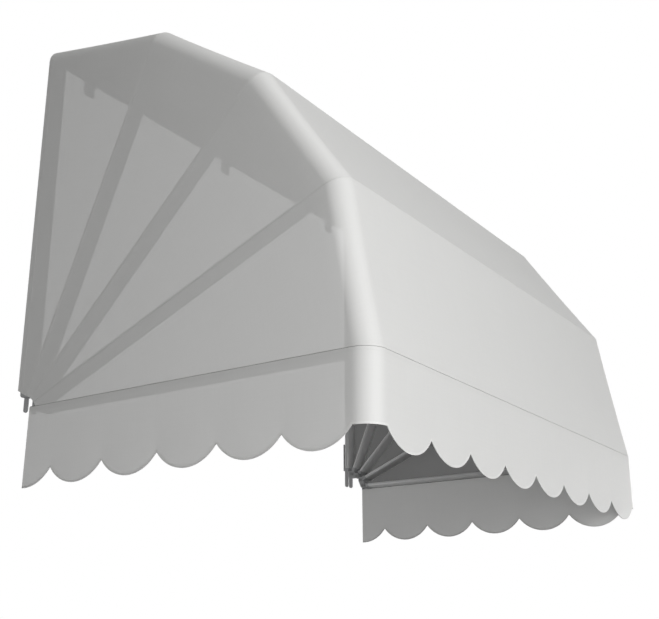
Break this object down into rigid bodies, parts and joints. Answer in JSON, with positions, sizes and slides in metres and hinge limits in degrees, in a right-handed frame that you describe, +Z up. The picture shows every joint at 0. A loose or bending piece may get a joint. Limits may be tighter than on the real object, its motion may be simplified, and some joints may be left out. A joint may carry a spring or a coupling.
{
  "type": "window awning",
  "caption": "Folding hood awning for over a window: hinged metal hoops fan out from the wall under a taut cloth cover with a scalloped valance.",
  "frame": {"origin": "on the wall, at the back of the middle top bracket, behind the middle of the top bar", "axes": "+Z up, +Y into the wall (the awning stands out along -Y), +X to the right for somebody who faces the wall"},
  "size_m": [1.53, 1.0458, 1.239],
  "materials": {
    "awning_cloth": "woven, light grey, slightly see-through",
    "hoop_profile": "satin anodised",
    "corner_moulding": "moulded, fine grain",
    "casting": "die cast, dull",
    "rivet": "plain"
  },
  "bodies": {
    "wall_frame": {"wall_hoop_bar": "hoop_profile", "wall_hoop_left_arm": "hoop_profile", "wall_hoop_right_arm": "hoop_profile", "wall_hoop_left_corner": "corner_moulding", "wall_hoop_right_corner": "corner_moulding", "left_hinge_bracket": "casting", "right_hinge_bracket": "casting", "left_top_bracket": "casting", "middle_top_bracket": "casting", "right_top_bracket": "casting", "upper_hoop_left_rivet": "rivet", "upper_hoop_right_rivet": "rivet", "upper_gore": "awning_cloth"},
    "upper_hoop": {"upper_hoop_bar": "hoop_profile", "upper_hoop_left_arm": "hoop_profile", "upper_hoop_right_arm": "hoop_profile", "upper_hoop_left_corner": "corner_moulding", "upper_hoop_right_corner": "corner_moulding", "upper_hoop_left_end_fitting": "casting", "upper_hoop_right_end_fitting": "casting", "middle_hoop_left_rivet": "rivet", "middle_hoop_right_rivet": "rivet", "middle_gore": "awning_cloth"},
    "middle_hoop": {"middle_hoop_bar": "hoop_profile", "middle_hoop_left_arm": "hoop_profile", "middle_hoop_right_arm": "hoop_profile", "middle_hoop_left_corner": "corner_moulding", "middle_hoop_right_corner": "corner_moulding", "middle_hoop_left_end_fitting": "casting", "middle_hoop_right_end_fitting": "casting", "lower_hoop_left_rivet": "rivet", "lower_hoop_right_rivet": "rivet", "lower_gore": "awning_cloth"},
    "lower_hoop": {"lower_hoop_bar": "hoop_profile", "lower_hoop_left_arm": "hoop_profile", "lower_hoop_right_arm": "hoop_profile", "lower_hoop_left_corner": "corner_moulding", "lower_hoop_right_corner": "corner_moulding", "lower_hoop_left_end_fitting": "casting", "lower_hoop_right_end_fitting": "casting", "front_hoop_left_rivet": "rivet", "front_hoop_right_rivet": "rivet", "front_gore": "awning_cloth"},
    "front_hoop": {"front_hoop_bar": "hoop_profile", "front_hoop_left_arm": "hoop_profile", "front_hoop_right_arm": "hoop_profile", "front_hoop_left_corner": "corner_moulding", "front_hoop_right_corner": "corner_moulding", "front_hoop_left_end_fitting": "casting", "front_hoop_right_end_fitting": "casting", "valance": "awning_cloth"}
  },
  "joints": [
    {"name": "fold_upper", "type": "hinge", "parent": "wall_frame", "child": "upper_hoop", "pos_m": [0, -0.0345, -0.97], "axis": [-1, 0, 0], "range_deg": [0, 22.5], "deforming": ["upper_gore"]},
    {"name": "fold_middle", "type": "hinge", "parent": "upper_hoop", "child": "middle_hoop", "pos_m": [0, -0.05482, -0.97842], "axis": [-1, 0, 0], "range_deg": [0, 22.5], "deforming": ["middle_gore"]},
    {"name": "fold_lower", "type": "hinge", "parent": "middle_hoop", "child": "lower_hoop", "pos_m": [0, -0.07038, -0.99398], "axis": [-1, 0, 0], "range_deg": [0, 22.5], "deforming": ["lower_gore"]},
    {"name": "fold_front", "type": "hinge", "parent": "lower_hoop", "child": "front_hoop", "pos_m": [0, -0.0788, -1.0143], "axis": [-1, 0, 0], "range_deg": [0, 22.5], "deforming": ["front_gore"]}
  ],
  "couplings": [
    {"joint": "fold_middle", "follows": "fold_upper", "ratio": 1},
    {"joint": "fold_lower", "follows": "fold_upper", "ratio": 1},
    {"joint": "fold_front", "follows": "fold_upper", "ratio": 1}
  ]
}
